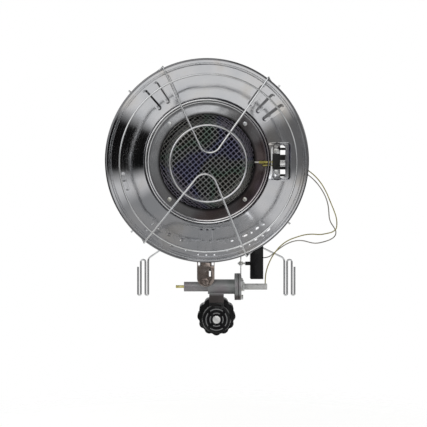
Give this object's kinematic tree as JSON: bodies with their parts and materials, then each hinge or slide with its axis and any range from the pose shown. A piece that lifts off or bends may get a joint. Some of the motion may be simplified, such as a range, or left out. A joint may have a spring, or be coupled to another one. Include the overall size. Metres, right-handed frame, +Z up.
{
  "type": "portable propane heater",
  "caption": "Tank-top radiant gas heater: chromed reflector bowl with a wire-mesh burner and wire guard on a safety valve, regulator with knob and coupling hand nut.",
  "frame": {"origin": "on the axis of the inlet nipple, at the rear face of the coupling nut", "axes": "+Y along the nipple towards the tank, +Z up, +X to the right seen from the front of the bowl"},
  "size_m": [0.3797, 0.1319, 0.4527],
  "materials": {
    "zinc_casting": "satin die cast",
    "black_paint": "satin, on die-cast zinc",
    "pale_sleeve": "moulded insulating sleeve",
    "brass": "turned",
    "black_plastic": "moulded",
    "bright_cap": "bright",
    "zinc_plated_steel": "bright zinc plate",
    "rubber": "matte",
    "bracket_steel": "bright, heat tinted",
    "aluminised_steel": "dull",
    "chromed_steel": "polished",
    "blackened_steel": "matte",
    "heat_tinted_steel": "heat tinted",
    "screen_wire": "oxidised wire cloth",
    "nickel_wire": "bright nickel",
    "yellow_lead": "bare, dull",
    "grey_lead": "dull"
  },
  "bodies": {
    "heater": {"baffle_plate": "heat_tinted_steel", "bracket_bolt": "zinc_plated_steel", "burner_bracket": "bracket_steel", "burner_cup": "aluminised_steel", "burner_pan": "heat_tinted_steel", "burner_rivets": "zinc_plated_steel", "burner_tube": "aluminised_steel", "clamp_ring": "heat_tinted_steel", "clamp_screws": "zinc_plated_steel", "cover_screws": "zinc_plated_steel", "diaphragm": "rubber", "flange_cover": "zinc_casting", "flange_gasket": "rubber", "flange_screws": "zinc_plated_steel", "flow_limiter": "brass", "gas_jet": "brass", "guard_inner_ring": "nickel_wire", "guard_lower_loop": "nickel_wire", "guard_outer_ring": "nickel_wire", "guard_upper_loop": "nickel_wire", "holder_screws": "zinc_plated_steel", "inlet_nipple": "brass", "inner_screen": "screen_wire", "interrupter_sleeve": "pale_sleeve", "lead_grey": "grey_lead", "lead_yellow": "yellow_lead", "magnet_nut": "zinc_plated_steel", "magnet_unit": "zinc_plated_steel", "neck_gasket": "rubber", "outer_screen": "screen_wire", "reflector_dish": "chromed_steel", "regulator_body": "black_paint", "regulator_cover": "black_paint", "regulator_spring": "zinc_plated_steel", "return_rod": "brass", "rod_seal": "rubber", "rod_spring": "zinc_plated_steel", "support_wire_left": "nickel_wire", "support_wire_right": "nickel_wire", "switch_ball": "zinc_plated_steel", "switch_contacts": "zinc_plated_steel", "switch_nuts": "zinc_plated_steel", "switch_stud": "zinc_plated_steel", "thermocouple_holder": "blackened_steel", "thermocouple_sleeve": "brass", "thermocouple_tip": "zinc_plated_steel", "tip_switch_bracket": "zinc_plated_steel", "tip_switch_case": "black_plastic", "tip_switch_cover": "black_plastic", "valve_body": "zinc_casting", "wire_clamp": "zinc_plated_steel"},
    "coupling": {"coupling_nut": "black_plastic"},
    "knob": {"control_knob": "black_plastic", "knob_cap": "bright_cap", "knob_stem": "brass"},
    "push_button": {"push_rod": "brass", "valve_disc": "brass"}
  },
  "joints": [
    {"name": "coupling_nut_turn", "type": "hinge", "parent": "heater", "child": "coupling", "pos_m": [0, -0.016, 0], "axis": [0, 1, 0], "continuous": true},
    {"name": "control_knob_turn", "type": "hinge", "parent": "heater", "child": "knob", "pos_m": [0, -0.062, 0], "axis": [0, -1, 0], "range_deg": [0, 270]},
    {"name": "button_push", "type": "slide", "parent": "heater", "child": "push_button", "axis": [1, 0, 0], "range_m": [0, 0.006], "stiffness_N_per_m": 500, "deforming": ["rod_spring"]}
  ]
}
